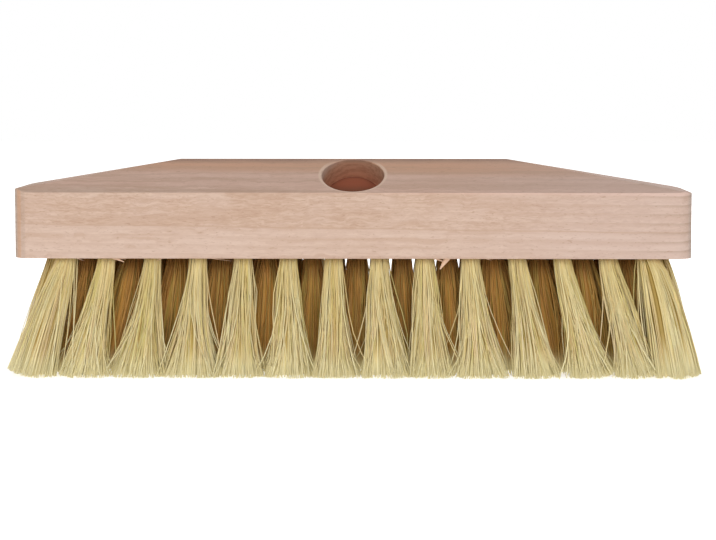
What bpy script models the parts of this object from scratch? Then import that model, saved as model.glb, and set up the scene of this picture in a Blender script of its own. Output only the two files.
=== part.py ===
"""Deck brush: a beech block with a roof-shaped top, a slanted handle socket and four rows of fibre tufts.

Units are metres and +Z is up. The brush stands on its bristle tips, on Z = 0, with the origin on the floor
under the middle of the block. X runs along the block, and the handle would lean towards -Y.
"""

import math
import random

import bmesh
import bpy
from mathutils import Matrix, Vector

# Beech block
BLOCK_LENGTH = 0.250
BLOCK_WIDTH = 0.050
SIDE_HEIGHT = 0.0244
ROOF_RISE = 0.0118
END_SLOPE = math.radians(10.0)
RIDGE_LENGTH = 0.1215
RIDGE_SHIFT = -0.0038
CORNER_RADIUS = 0.0065
CORNER_STEPS = 6
ARRIS_WIDTH = 0.0010
ARRIS_STEPS = 3
SHARP_ANGLE = math.radians(40.0)

# Handle socket, bored down into the front slope
SOCKET_MOUTH_DIAMETER = 0.0232
SOCKET_TAPER = math.radians(2.0)
SOCKET_LEAN = math.radians(50.0)
SOCKET_ABOVE_MID_SLOPE = 0.0004
SOCKET_FLOOR_WOOD = 0.0037
MOUTH_CHAMFER = 0.0005
SOCKET_SIDES = 40

# Tuft holes in the underside
TUFT_HOLE_DIAMETER = 0.0068
TUFT_HOLE_DEPTH = 0.0080
TUFT_HOLE_SIDES = 12
ROW_COUNT = 4
ROW_SIDE_MARGIN = 0.00775
EVEN_TUFTS_END_MARGIN = 0.02426
PITCHES_PER_ROW = 12
PATTERN_SHIFT = 0.0015
OUTER_ROW_END_MARGIN = 0.018
INNER_ROW_END_MARGIN = 0.013

# Tufts
BRISTLE_LENGTH = 0.0438
STRANDS_PER_TUFT = 8
TUFT_CLEARANCE = 0.0003
STRAND_GAP = 0.0003
TUFT_SPLAY = 0.0085
TIP_GAP = 0.0008
STRAND_SWELL = 1.5
INNER_STRAND_SHARE = 0.62
TIP_RAGGEDNESS = 0.08
END_TIP_REACH = 0.1225
END_LEAN_POWER = 1.4
OUTER_ROW_LEAN = 0.0060
TRIM_SEED = 7

# Wire anchors, one across the fold of each tuft
ANCHOR_THICKNESS = 0.0006
ANCHOR_HEIGHT = 0.0020
ANCHOR_BELOW_FOLD = 0.0012
ANCHOR_BITE = 0.00015

# How far a cutter runs past the face that it starts from
CUTTER_EXCESS = 0.002

BEECH_COLOR = (0.65, 0.46, 0.35)
FIBRE_COLOR = (0.56, 0.44, 0.22)

ROOF_ANGLE = math.atan2(ROOF_RISE, BLOCK_WIDTH / 2)
UNDERSIDE_Z = BRISTLE_LENGTH
ARRIS_Z = UNDERSIDE_Z + SIDE_HEIGHT
RIDGE_Z = ARRIS_Z + ROOF_RISE
TUFT_PITCH = (BLOCK_LENGTH - 2 * EVEN_TUFTS_END_MARGIN) / PITCHES_PER_ROW
ROW_SPACING = (BLOCK_WIDTH - 2 * ROW_SIDE_MARGIN) / (ROW_COUNT - 1)


def clear_scene():
    for old in list(bpy.data.objects):
        bpy.data.objects.remove(old, do_unlink=True)


def make_material(name, color, roughness):
    material = bpy.data.materials.new(name)
    material.use_nodes = True
    shader = material.node_tree.nodes["Principled BSDF"]
    shader.inputs["Base Color"].default_value = (*color, 1.0)
    shader.inputs["Roughness"].default_value = roughness
    shader.inputs["Metallic"].default_value = 0.0
    return material


def add_object(name, mesh, material=None, parent=None):
    obj = bpy.data.objects.new(name, mesh)
    bpy.context.scene.collection.objects.link(obj)
    if material:
        mesh.materials.append(material)
    obj.parent = parent
    return obj


def mesh_from(bm, name):
    bmesh.ops.recalc_face_normals(bm, faces=bm.faces[:])
    mesh = bpy.data.meshes.new(name)
    bm.to_mesh(mesh)
    bm.free()
    return mesh


def make_cutter(name, mesh, parent):
    cutter = add_object(name, mesh, parent=parent)
    cutter.hide_render = True
    cutter.display_type = "WIRE"
    return cutter


def cut(obj, cutter):
    boolean = obj.modifiers.new(cutter.name, "BOOLEAN")
    boolean.operation = "DIFFERENCE"
    boolean.solver = "EXACT"
    boolean.object = cutter


def loft(bm, rings):
    """Skins closed rings of equal count in order and caps both ends."""
    loops = [[bm.verts.new(point) for point in ring] for ring in rings]
    for lower, upper in zip(loops, loops[1:]):
        for i, corner in enumerate(lower):
            j = (i + 1) % len(lower)
            bm.faces.new((corner, lower[j], upper[j], upper[i]))
    bm.faces.new(loops[0])
    bm.faces.new(loops[-1])


# Block


def block_outline():
    """The plan of the block: a rectangle with round corners, anticlockwise."""
    middle_x = BLOCK_LENGTH / 2 - CORNER_RADIUS
    middle_y = BLOCK_WIDTH / 2 - CORNER_RADIUS
    points = []
    for quarter, (side_x, side_y) in enumerate(((1, 1), (-1, 1), (-1, -1), (1, -1))):
        for step in range(CORNER_STEPS + 1):
            angle = (quarter + step / CORNER_STEPS) * math.pi / 2
            x = side_x * middle_x + CORNER_RADIUS * math.cos(angle)
            y = side_y * middle_y + CORNER_RADIUS * math.sin(angle)
            points.append((x, y))
    return points


def roof_planes():
    """(point, outward normal) of the four slopes: front, back, left end and right end."""
    ridge_left = Vector((RIDGE_SHIFT - RIDGE_LENGTH / 2, 0, RIDGE_Z))
    ridge_right = Vector((RIDGE_SHIFT + RIDGE_LENGTH / 2, 0, RIDGE_Z))
    across = (0, math.sin(ROOF_ANGLE), math.cos(ROOF_ANGLE))
    along = (math.sin(END_SLOPE), 0, math.cos(END_SLOPE))
    return (
        (ridge_left, Vector((0, -across[1], across[2]))),
        (ridge_left, Vector(across)),
        (ridge_left, Vector((-along[0], 0, along[2]))),
        (ridge_right, Vector(along)),
    )


def plain_block():
    """The block before its arrises are softened and its holes are bored."""
    bm = bmesh.new()
    plan = block_outline()
    loft(bm, [[(x, y, z) for x, y in plan] for z in (UNDERSIDE_Z, RIDGE_Z + CUTTER_EXCESS)])
    for point, normal in roof_planes():
        everything = bm.verts[:] + bm.edges[:] + bm.faces[:]
        sliced = bmesh.ops.bisect_plane(
            bm, geom=everything, plane_co=point, plane_no=normal, clear_outer=True
        )
        rim = [item for item in sliced["geom_cut"] if isinstance(item, bmesh.types.BMEdge)]
        bmesh.ops.contextual_create(bm, geom=rim)
    return mesh_from(bm, "block")


def soften_arrises(block):
    bevel = block.modifiers.new("arrises", "BEVEL")
    bevel.width = ARRIS_WIDTH
    bevel.segments = ARRIS_STEPS
    bevel.limit_method = "ANGLE"
    bevel.angle_limit = SHARP_ANGLE


# Handle socket


def socket_frame():
    """The mouth's middle on the front slope, and the ways down the bore and across it to its upper side."""
    slope = Vector((0, math.cos(ROOF_ANGLE), math.sin(ROOF_ANGLE)))
    slope_middle = Vector((0, -BLOCK_WIDTH / 4, ARRIS_Z + ROOF_RISE / 2))
    mouth = slope_middle + slope * SOCKET_ABOVE_MID_SLOPE
    inward = Vector((0, math.sin(SOCKET_LEAN), -math.cos(SOCKET_LEAN)))
    upper_side = Vector((0, math.cos(SOCKET_LEAN), math.sin(SOCKET_LEAN)))
    return mouth, inward, upper_side


def socket_depth():
    """Depth from the mouth's middle that leaves SOCKET_FLOOR_WOOD over the tuft holes."""
    mouth, _, _ = socket_frame()
    floor_z = UNDERSIDE_Z + TUFT_HOLE_DEPTH + SOCKET_FLOOR_WOOD
    drop = mouth.z - floor_z - SOCKET_MOUTH_DIAMETER / 2 * math.sin(SOCKET_LEAN)
    return drop / (math.cos(SOCKET_LEAN) - math.tan(SOCKET_TAPER) * math.sin(SOCKET_LEAN))


def socket_point(angle, depth, grow=0.0):
    """A point of the tapered wall, at this angle round the bore and this depth along it."""
    mouth, inward, upper_side = socket_frame()
    radius = SOCKET_MOUTH_DIAMETER / 2 - depth * math.tan(SOCKET_TAPER) + grow
    outward = Vector((math.cos(angle), 0, 0)) + upper_side * math.sin(angle)
    return mouth + inward * depth + outward * radius


def socket_point_under_slope(angle, sunk, grow=0.0):
    """The point of the wall at this angle that lies `sunk` below the front slope."""
    mouth, _, _ = socket_frame()
    normal = Vector((0, -math.sin(ROOF_ANGLE), math.cos(ROOF_ANGLE)))
    start = socket_point(angle, 0, grow)
    step = socket_point(angle, 1, grow) - start
    depth = (-sunk - (start - mouth).dot(normal)) / step.dot(normal)
    return start + step * depth


def socket_cutter_mesh():
    """The bore with its chamfered mouth, as one solid from above the slope to the socket's floor."""
    angles = [2 * math.pi * i / SOCKET_SIDES for i in range(SOCKET_SIDES)]
    above = [socket_point_under_slope(a, -CUTTER_EXCESS, MOUTH_CHAMFER + CUTTER_EXCESS) for a in angles]
    neck = [socket_point_under_slope(a, MOUTH_CHAMFER) for a in angles]
    floor = [socket_point(a, socket_depth()) for a in angles]
    bm = bmesh.new()
    loft(bm, [above, neck, floor])
    return mesh_from(bm, "socket_cutter")


# Tuft holes and tufts


def row_places(offset, even_reach, end_margin=None):
    """X of a row's tufts: evenly spaced ones, then one nearer each end of the block where it has room."""
    count = 2 * even_reach + 1 if offset == 0 else 2 * even_reach
    places = [(i - (count - 1) / 2) * TUFT_PITCH for i in range(count)]
    if end_margin is not None:
        end = BLOCK_LENGTH / 2 - end_margin
        places = [-end, *places, end]
    return [x + PATTERN_SHIFT for x in places]


def tuft_rows():
    """(Y, [X, ...]) of each row from the front to the back, the rows set half a pitch apart in turn."""
    half_row = PITCHES_PER_ROW // 2
    rows = (
        row_places(0.5, half_row, OUTER_ROW_END_MARGIN),
        row_places(0, half_row, INNER_ROW_END_MARGIN),
        row_places(0.5, half_row, INNER_ROW_END_MARGIN),
        row_places(0, half_row),
    )
    return [((i - (ROW_COUNT - 1) / 2) * ROW_SPACING, places) for i, places in enumerate(rows)]


def tip_x(root_x):
    """Where a tuft's tips stand: the tufts lean outwards, and more so towards the ends."""
    side = math.copysign(1, root_x)
    end_root = BLOCK_LENGTH / 2 - INNER_ROW_END_MARGIN + side * PATTERN_SHIFT
    share = (abs(root_x) / end_root) ** END_LEAN_POWER
    return root_x + side * (END_TIP_REACH - end_root) * share


def tip_y(root_y):
    outer_row_y = BLOCK_WIDTH / 2 - ROW_SIDE_MARGIN
    return root_y * (1 + OUTER_ROW_LEAN / outer_row_y)


def tip_half_widths(places):
    """Half the width of each tuft's tips, kept clear of the tufts beside it."""
    tips = [tip_x(x) for x in places]
    gaps = [b - a for a, b in zip(tips, tips[1:])]
    nearest = [min(pair) for pair in zip([gaps[0], *gaps], [*gaps, gaps[-1]])]
    return [min(TUFT_SPLAY, gap / 2 - TIP_GAP / 2) for gap in nearest]


def tuft_holes_mesh():
    """All the drill's cylinders, as one cutter."""
    bm = bmesh.new()
    length = TUFT_HOLE_DEPTH + CUTTER_EXCESS
    middle_z = UNDERSIDE_Z + TUFT_HOLE_DEPTH - length / 2
    for y, places in tuft_rows():
        for x in places:
            bmesh.ops.create_cone(
                bm,
                cap_ends=True,
                segments=TUFT_HOLE_SIDES,
                radius1=TUFT_HOLE_DIAMETER / 2,
                radius2=TUFT_HOLE_DIAMETER / 2,
                depth=length,
                matrix=Matrix.Translation((x, y, middle_z)),
            )
    return mesh_from(bm, "tuft_holes_cutter")


def add_plug(bm):
    """The folded root of a tuft, from the underside up into its hole. Returns its lower faces."""
    radius = TUFT_HOLE_DIAMETER / 2 * math.cos(math.pi / TUFT_HOLE_SIDES) - TUFT_CLEARANCE
    half_step = Matrix.Rotation(math.pi / STRANDS_PER_TUFT, 4, "Z")
    bmesh.ops.create_circle(
        bm, cap_ends=True, cap_tris=True, segments=STRANDS_PER_TUFT, radius=radius, matrix=half_step
    )
    lower_faces = bm.faces[:]
    rim = [edge for edge in bm.edges if edge.is_boundary]
    sides = bmesh.ops.extrude_edge_only(bm, edges=rim)["geom"]
    raised = [item for item in sides if isinstance(item, bmesh.types.BMVert)]
    bmesh.ops.translate(bm, verts=raised, vec=(0, 0, TUFT_HOLE_DEPTH - TUFT_CLEARANCE))
    fold = [edge for edge in bm.edges if edge.is_boundary]
    bmesh.ops.contextual_create(bm, geom=fold)
    return lower_faces


def add_anchor(bm):
    """The ends of the flat wire that the tuft is folded over, standing out of two sides of the plug."""
    top = TUFT_HOLE_DEPTH - TUFT_CLEARANCE - ANCHOR_BELOW_FOLD
    ends = sorted(bm.faces, key=lambda face: abs(face.normal.x))[-2:]
    bmesh.ops.inset_individual(bm, faces=ends, thickness=ANCHOR_THICKNESS)
    for face in ends:
        middle_z = face.calc_center_median().z
        for vert in face.verts:
            vert.co.z = top if vert.co.z > middle_z else top - ANCHOR_HEIGHT
            vert.co.y = math.copysign(ANCHOR_THICKNESS / 2, vert.co.y)
    for face in bmesh.ops.extrude_discrete_faces(bm, faces=ends)["faces"]:
        outward = math.copysign(ANCHOR_BITE, face.calc_center_median().x)
        bmesh.ops.translate(bm, verts=face.verts, vec=(outward, 0, 0))


def add_strands(bm, lower_faces, lean, half_size, trim):
    """One lock of fibres from each lower face of the plug, splayed and cut flat on the floor."""
    bmesh.ops.inset_individual(bm, faces=lower_faces, thickness=STRAND_GAP / 2)
    tips = bmesh.ops.extrude_discrete_faces(bm, faces=lower_faces)["faces"]
    for face in tips:
        middle = face.calc_center_median()
        outward = middle.normalized()
        is_inner = round(STRANDS_PER_TUFT * math.atan2(outward.y, outward.x) / (2 * math.pi)) % 2
        share = (INNER_STRAND_SHARE if is_inner else 1.0) * (1 - trim.uniform(0, TIP_RAGGEDNESS))
        half_thick = max((vert.co - middle).dot(outward) for vert in face.verts) * STRAND_SWELL
        tip = Vector((lean[0], lean[1], -BRISTLE_LENGTH))
        tip.x += (half_size[0] - half_thick) * share * outward.x
        tip.y += (half_size[1] - half_thick) * share * outward.y
        for vert in face.verts:
            vert.co = tip + (vert.co - middle) * STRAND_SWELL


def add_tuft(name, root, half_x, material, parent, trim):
    lean = (tip_x(root[0]) - root[0], tip_y(root[1]) - root[1])
    half_y = (tip_y(ROW_SPACING) - TIP_GAP) / 2
    bm = bmesh.new()
    lower_faces = add_plug(bm)
    bm.normal_update()
    add_anchor(bm)
    add_strands(bm, lower_faces, lean, (half_x, min(half_y, TUFT_SPLAY)), trim)
    tuft = add_object(name, mesh_from(bm, name), material, parent)
    tuft.location = (*root, UNDERSIDE_Z)
    return tuft


def add_block(material, parent):
    block = add_object("block", plain_block(), material, parent)
    block.data.shade_smooth()
    block.data.set_sharp_from_angle(angle=SHARP_ANGLE)
    soften_arrises(block)
    cut(block, make_cutter("tuft_holes_cutter", tuft_holes_mesh(), parent))
    cut(block, make_cutter("socket_cutter", socket_cutter_mesh(), parent))
    return block


def add_tufts(material, parent):
    trim = random.Random(TRIM_SEED)
    for row, (y, places) in enumerate(tuft_rows(), start=1):
        for number, (x, half_x) in enumerate(zip(places, tip_half_widths(places)), start=1):
            add_tuft(f"tuft_row{row}_{number:02d}", (x, y), half_x, material, parent, trim)


def main():
    clear_scene()
    beech = make_material("beech", BEECH_COLOR, 0.6)
    fibre = make_material("plant_fibre", FIBRE_COLOR, 0.75)
    brush = bpy.data.objects.new("deck_brush", None)
    bpy.context.scene.collection.objects.link(brush)
    add_block(beech, brush)
    add_tufts(fibre, brush)


main()
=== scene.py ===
"""Looks of the deck brush: a raw beech block and 56 tufts of loose plant fibre, on a white studio floor.

Units are metres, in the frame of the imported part: X runs along the block, -Y is the front, and the fibre
tips stand on Z = 0.
"""

import math

import bmesh
import bpy
import numpy as np
from mathutils import Matrix, Vector


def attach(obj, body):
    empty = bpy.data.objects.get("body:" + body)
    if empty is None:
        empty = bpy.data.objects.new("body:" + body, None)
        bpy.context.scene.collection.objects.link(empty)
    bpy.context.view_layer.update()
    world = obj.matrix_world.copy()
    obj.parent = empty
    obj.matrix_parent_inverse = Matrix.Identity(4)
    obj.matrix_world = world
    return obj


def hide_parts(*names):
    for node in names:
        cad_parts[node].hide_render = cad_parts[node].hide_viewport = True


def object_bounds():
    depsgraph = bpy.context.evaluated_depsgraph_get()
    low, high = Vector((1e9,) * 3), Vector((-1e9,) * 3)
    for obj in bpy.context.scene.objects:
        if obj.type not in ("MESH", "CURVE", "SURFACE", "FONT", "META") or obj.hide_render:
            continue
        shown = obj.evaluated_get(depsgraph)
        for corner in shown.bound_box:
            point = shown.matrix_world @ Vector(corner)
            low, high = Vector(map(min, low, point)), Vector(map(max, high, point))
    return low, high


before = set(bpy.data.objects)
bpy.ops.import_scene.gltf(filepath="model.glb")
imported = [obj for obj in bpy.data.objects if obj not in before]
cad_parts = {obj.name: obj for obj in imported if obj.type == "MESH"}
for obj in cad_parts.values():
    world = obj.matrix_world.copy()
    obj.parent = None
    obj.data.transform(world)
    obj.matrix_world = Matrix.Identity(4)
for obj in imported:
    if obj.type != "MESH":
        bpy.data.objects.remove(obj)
cad_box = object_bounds()

# Camera, with its lens in millimetres. It and the lamps aim at the target
TARGET = (0.00169, 0.0, 0.03768)
CAMERA_DISTANCE = 0.910
CAMERA_AZIMUTH = math.radians(1.0)
CAMERA_ELEVATION = math.radians(4.67)
CAMERA_LENS = 121.05
CAMERA_CLIP = (0.01, 100.0)

# Lamps: name, azimuth and elevation in degrees, width, and power in watts
LAMP_DISTANCE = 1.3
LAMPS = (
    ("key_left", -16, 20, 0.7, 3.6),
    ("key_right", 16, 20, 0.7, 3.6),
    ("back_fill", 180, 30, 0.8, 6.0),
)

# Even light from all round: its strength from the side and from the top
WHITE = (1.0, 1.0, 1.0, 1.0)
SKY_SIDE = 0.54
SKY_TOP = 0.23

# Floor. To the camera it glows by its glow near the brush, and by 1 from the far end of the fade on.
# To the brush it glows by the bounce.
FLOOR_SIZE = 6.0
FLOOR_COLOR = (0.93, 0.93, 0.93, 1.0)
FLOOR_ROUGHNESS = 0.9
FLOOR_GLOW = 0.62
FLOOR_BOUNCE = 0.42
FLOOR_FADE = (0.25, 0.55)

# Beech block
BLOCK_LENGTH = 0.250
BLOCK_WIDTH = 0.050
UNDERSIDE_Z = 0.0438
ARRIS_Z = 0.0682
RIDGE_Z = 0.0800
END_SLOPE = math.radians(10.0)
RIDGE_X = (-0.06455, 0.05695)
CORNER_RADIUS = 0.0065
CORNER_STEPS = 14

# Arrises. Edges that turn by more than the sharp angle are rounded over.
# Faces shade smoothly into each other up to the smooth angle.
ARRIS_WIDTH = 0.0010
UNDER_ARRIS_WIDTH = 0.0004
ARRIS_STEPS = 3
ROUND_PROFILE = 0.5
SHARP_ANGLE = math.radians(20.0)
SMOOTH_ANGLE = math.radians(32.0)

# Handle socket and tuft holes. What cuts them out reaches past the surface by the excess
SOCKET_MOUTH = (0.0, -0.012138, 0.074271)
SOCKET_RADIUS = 0.0116
SOCKET_DEPTH = 0.016046
SOCKET_TAPER = math.radians(2.0)
SOCKET_LEAN = math.radians(50.0)
MOUTH_CHAMFER = 0.0005
SOCKET_SIDES = 96
TUFT_HOLE_RADIUS = 0.0034
TUFT_HOLE_DEPTH = 0.0080
TUFT_HOLE_SIDES = 28
CUTTER_EXCESS = 0.002

# Splinters: the point is the share of the width that is left at the tip, and the root is the share
# of the length that is in the wood
SPLINTER_SIDES = 5
SPLINTER_FLATNESS = 0.45
SPLINTER_POINT = 0.15
SPLINTER_ROOT = 0.05

# Each splinter's X, Y, direction in plan and droop in radians, length and width
SPLINTERS = (
    (-0.1024, -0.0212, 0.1, 0.35, 0.0036, 0.0004),
    (-0.0880, -0.0216, -0.1, 0.38, 0.0042, 0.0014),
    (-0.0868, -0.0212, 0.3, 0.20, 0.0032, 0.0007),
    (-0.0700, -0.0212, 2.9, 0.45, 0.0028, 0.0005),
    (-0.0535, -0.0212, 0.0, 0.13, 0.0098, 0.0003),
    (0.0300, -0.0216, 0.1, 0.32, 0.0054, 0.0009),
    (0.0350, -0.0212, 2.9, 0.98, 0.0052, 0.0027),
    (0.0488, -0.0212, 0.1, 0.30, 0.0028, 0.0005),
)

# Fibres. A pair is a mean and a spread for a tone, the powers of lean and fan for a shape, or a range.
# Spreads, drifts, turns, bows, waves, wander, raggedness, roughness and the strays' reach are standard
# deviations.
FIBRE_SEED = 11
FRONT_ROW = 1
INNER_ROWS = (2, 3)
FIBRES_IN_OUTER_TUFT = 320
FIBRES_IN_INNER_TUFT = 125
FIBRE_RADIUS = 0.00020
FIBRE_THICKNESS = (0.75, 1.25)
FIBRE_TIP_SHARE = 0.75
FIBRE_TONE = (0.68, 0.33)
FIBRE_RINGS = 7
FIBRE_SIDES = 3
FIBRE_ROOT_IN_HOLE = 0.0025
FIBRE_ROOT_Z = UNDERSIDE_Z + FIBRE_ROOT_IN_HOLE
LONGEST_FIBRE = 0.0464
TIP_ZONE = 0.002
TIP_RAGGEDNESS = 0.00014

# How far out along X a tuft of the inner rows carries their painted shade, past which it is as pale as the
# outer rows, and how far out a tuft's tips belong to an end
PALE_TUFT_REACH = 0.108
END_TIP_REACH = 0.108

# Bundles where they leave their holes, and how they lean and fan
FRONT_BUNDLE_RADIUS = 0.0030
OPEN_BUNDLE_RADIUS = 0.00315
FULL_BUNDLE_RADIUS = 0.0033
OPEN_GAPS_X = (-0.019, 0.046)
EVEN_LEAN = 1.0
NARROW_FAN = 2.2
OPEN_FAN = 1.2
FULL_FAN = 0.64
LEFT_END_SHAPE = (0.85, 0.8)
RIGHT_END_SHAPE = (0.65, 0.52)

# Locks. Their spreads and drift are shares of a tuft's radius
GOLDEN_ANGLE = math.pi * (3 - math.sqrt(5))
LOCKS = 19
LOCK_ROOT_SPREAD = 0.18
LOCK_TIP_SPREAD = 0.14
LOCK_DRIFT = 0.16
LOCK_TONE_SPREAD = 0.26
LOCK_HUE_SHARE = 0.55

# Fibres round the outside of a tuft: radii in shares of the tuft's, and turns about it in radians
OUTER_SHARE = 0.62
OUTER_BUNDLE = (0.92, 1.0)
OUTER_FAN = (0.78, 1.04)
OUTER_FAN_SPREAD = 0.04
OUTER_ROOT_TURN = 0.17
OUTER_TIP_TURN = 0.10
OUTER_LOCK_DRIFT = 0.13

# How fibres and locks curve, and how much less they do at the ends of the block
FIBRE_BOW = 0.0004
LOCK_BOW = 0.0006
FIBRE_WAVE = 0.00025
LOCK_WAVE = 0.0004
FIBRE_WANDER = 0.0006
END_CURVE_SHARE = 0.3

# Stray fibres: their share of all, and how they differ from the rest
STRAY_SHARE = 0.09
STRAY_THICKNESS = 1.35
STRAY_REACH = 0.0045
STRAY_DEPTH_SHARE = 0.6
STRAY_BOW = 0.0012
STRAY_TONE = 0.25

# The ribbed core that fills a tuft's middle
CORE_RIBS = 84
CORE_RINGS = 6
CORE_LOCKS = 22
CORE_SHARE = 0.77
CORE_ROUGHNESS = 0.055
RIB_SHARE = 0.022
CORE_TONE = (0.42, 0.28)
CORE_END_Z = 0.0012
CORE_END_SHARES = (0.5, 1.5)

# The front row as photographed: where each tuft's tips are centred, and how wide they spread
FRONT_TIPS = (
    (-0.1190, 0.0192),
    (-0.0998, 0.0194),
    (-0.0799, 0.0212),
    (-0.0602, 0.0234),
    (-0.0420, 0.0197),
    (-0.0236, 0.0178),
    (-0.0063, 0.0174),
    (0.0124, 0.0185),
    (0.0293, 0.0162),
    (0.0478, 0.0189),
    (0.0680, 0.0175),
    (0.0885, 0.0160),
    (0.1060, 0.0158),
    (0.1200, 0.0180),
)


# Node helpers

NOISE_ROUGHNESS = 0.55
NOISE_MIDDLE = 0.5


class Graph:
    """A material's nodes, made and joined in short calls."""

    def __init__(self, name):
        self.material = bpy.data.materials.new(name)
        self.material.use_nodes = True
        self.tree = self.material.node_tree
        self.shader = self.tree.nodes["Principled BSDF"]

    def add(self, kind, **settings):
        node = self.tree.nodes.new(kind)
        for key, value in settings.items():
            setattr(node, key, value)
        return node

    def join(self, source, target):
        self.tree.links.new(source, target)

    def feed(self, socket, value):
        """Sets a socket to a number or colour, or joins it to another socket."""
        if isinstance(value, bpy.types.NodeSocket):
            self.join(value, socket)
        else:
            socket.default_value = value

    def math(self, operation, a, b=0.0, clamp=False):
        node = self.add("ShaderNodeMath", operation=operation, use_clamp=clamp)
        self.feed(node.inputs[0], a)
        self.feed(node.inputs[1], b)
        return node.outputs[0]

    def remap(self, value, low, high, to_low=0.0, to_high=1.0):
        """A smooth step: to_low at or below low, to_high at or above high."""
        node = self.add("ShaderNodeMapRange", interpolation_type="SMOOTHSTEP")
        for socket, number in zip(node.inputs, (value, low, high, to_low, to_high)):
            self.feed(socket, number)
        return node.outputs[0]

    def blend(self, share, a, b):
        """Colour a with this share of colour b over it."""
        node = self.add("ShaderNodeMix", data_type="RGBA")
        self.feed(node.inputs["Factor"], share)
        self.feed(node.inputs["A"], (*a, 1.0) if isinstance(a, tuple) else a)
        self.feed(node.inputs["B"], (*b, 1.0) if isinstance(b, tuple) else b)
        return node.outputs["Result"]

    def scaled(self, coords, scale):
        node = self.add("ShaderNodeMapping")
        self.join(coords, node.inputs["Vector"])
        node.inputs["Scale"].default_value = scale
        return node.outputs["Vector"]

    def noise(self, coords, scale, detail, roughness=NOISE_ROUGHNESS):
        """Noise from 0 to 1 with this many features to the metre along X, Y and Z."""
        node = self.add("ShaderNodeTexNoise")
        self.join(self.scaled(coords, scale), node.inputs["Vector"])
        node.inputs["Scale"].default_value = 1.0
        node.inputs["Detail"].default_value = detail
        node.inputs["Roughness"].default_value = roughness
        return node.outputs["Fac"]

    def split(self, vector):
        node = self.add("ShaderNodeSeparateXYZ")
        self.join(vector, node.inputs[0])
        return node.outputs

    def attribute(self, name):
        """A value that the mesh keeps at each vertex."""
        return self.add("ShaderNodeAttribute", attribute_name=name).outputs["Fac"]

    def bump(self, height, strength, distance):
        node = self.add("ShaderNodeBump")
        node.inputs["Strength"].default_value = strength
        node.inputs["Distance"].default_value = distance
        self.join(height, node.inputs["Height"])
        self.join(node.outputs["Normal"], self.shader.inputs["Normal"])


# Materials
#
# A curve gives a value's low and high end, and the share at or below the one and at or above the other,
# which are 0 and 1 where it doesn't give them.
# A noise gives its features to the metre along X, Y and Z, its detail, and sometimes its roughness.

BEECH_PALE = (0.677, 0.497, 0.39)
BEECH_DARK = (0.545, 0.365, 0.27)
BEECH_PINK = (0.72, 0.55, 0.46)
BEECH_BAND = (0.53, 0.345, 0.245)
BEECH_ROSE = (0.77, 0.515, 0.42)
BEECH_WARM = (0.65, 0.375, 0.245)
BEECH_COOL = (0.66, 0.51, 0.455)
BEECH_FLECK = (0.41, 0.25, 0.17)
BEECH_END_GRAIN = (0.51, 0.435, 0.375)
BEECH_END_PORE = (0.39, 0.315, 0.26)
BEECH_ORANGE = (0.62, 0.36, 0.22)
# Worn wood, also used for the ticks and for painted shading on the left corner
BEECH_WORN_AND_SHADED = (0.48, 0.345, 0.27)
# Painted shade of the ridge
BEECH_SHADED_RIDGE = (0.33, 0.215, 0.175)
BEECH_TORN = (0.81, 0.56, 0.40)
# Painted highlight on the mouth's rim
BEECH_RIM_HIGHLIGHT = (0.80, 0.60, 0.47)
# The bore's colours are painted shade: darker and redder than the wood
BORE_WALL = (0.60, 0.37, 0.245)
BORE_DEEP = (0.69, 0.34, 0.21)
BORE_FLOOR = (0.32, 0.095, 0.048)
BORE_PAINTED_SHADE = (0.16, 0.065, 0.035)

# Growth rings, as distances from the middle of the tree
RING_CENTRE_Z = -0.120
RING_WIDTH = 0.0033
RING_TILT = 0.0132
RING_WAVE = 0.0014
RING_WAVES = ((18, 40, 40), 3.0)
STRONG_RING = 0.17682
STRONG_RING_CURVE = (0.0, 0.0005, 0.5, 0.0)
LATE_WOOD = (0.3, 0.97, 0.0, 0.25)
LATE_WOOD_ON_ENDS = (0.25, 0.7, 1.0, 2.0)
TICKS = (0.55, 0.97, 0.0, 0.5)
TICK_X = (0.094, 0.121)

# Grain
RIPPLE_HEIGHT = 0.0030
RIPPLES = ((135, 110, 110), 2.0)
SWING_HEIGHT = 0.0040
SWINGS = ((22, 30, 30), 1.0)
STREAKS = ((110, 640, 640), 4.0, 0.65)
HAIRS = ((260, 1800, 1800), 2.0)
CLOUDS = ((50, 110, 110), 2.0)
BANDS = ((14, 420, 420), 2.0)
FLECKS = ((420, 2600, 2600), 1.0)
FLECK_CURVE = (0.63, 0.74, 0.0, 0.45)
PLANED_STEPS = (
    ("tone", (0.35, 0.65, 0.0, 1.0), BEECH_PALE),
    ("clouds", (0.42, 0.66, 0.0, 0.35), BEECH_PINK),
    ("past strong ring", (-0.0006, 0.0003, 0.5, 0.0), BEECH_PINK),
    ("past strong ring", (0.0118, 0.0140, 0.0, 0.6), BEECH_ROSE),
    ("past strong ring", (0.0172, 0.0196, 0.0, 0.8), BEECH_WARM),
    ("bands", (0.42, 0.62, 0.0, 0.4), BEECH_BAND),
    ("x", (0.020, 0.110, 0.0, 0.45), BEECH_COOL),
)

# Sawn ends, and strips of painted shading across the left corner's rounding: the normal's X in the middle
# of each, colour and share
END_CURVE = (0.66, 0.94, 0.0, 0.58)
END_RINGS = (0.6, 0.97, 0.0, 0.8)
PORES = ((2600, 2600, 2600), 2.0)
PORE_CURVE = (0.40, 0.60)
# Painted shading: an orange and a greyish strip across the left corner's rounding
CORNER_SHADING_STRIPS = ((-0.67, BEECH_ORANGE, 0.55), (-0.42, BEECH_WORN_AND_SHADED, 0.3))
STRIP_HALF_WIDTHS = (0.06, 0.17)

# Handle socket: sides are places towards the bore's upper side
# The painted highlight round the socket's mouth, strongest low on the rim
MOUTH_RIM_WIDTH = 0.0008
RIM_SHARE = 0.75
RIM_BY_HEIGHT = (0.0765, 0.0790, 1.0, 0.2)
BORE_SHARE = 0.95
BORE_EDGE = 0.00015
BORE_FLOOR_EDGE = 0.0004
BORE_STREAKS = (0.38, 0.58, 0.35, 0.0)
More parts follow.
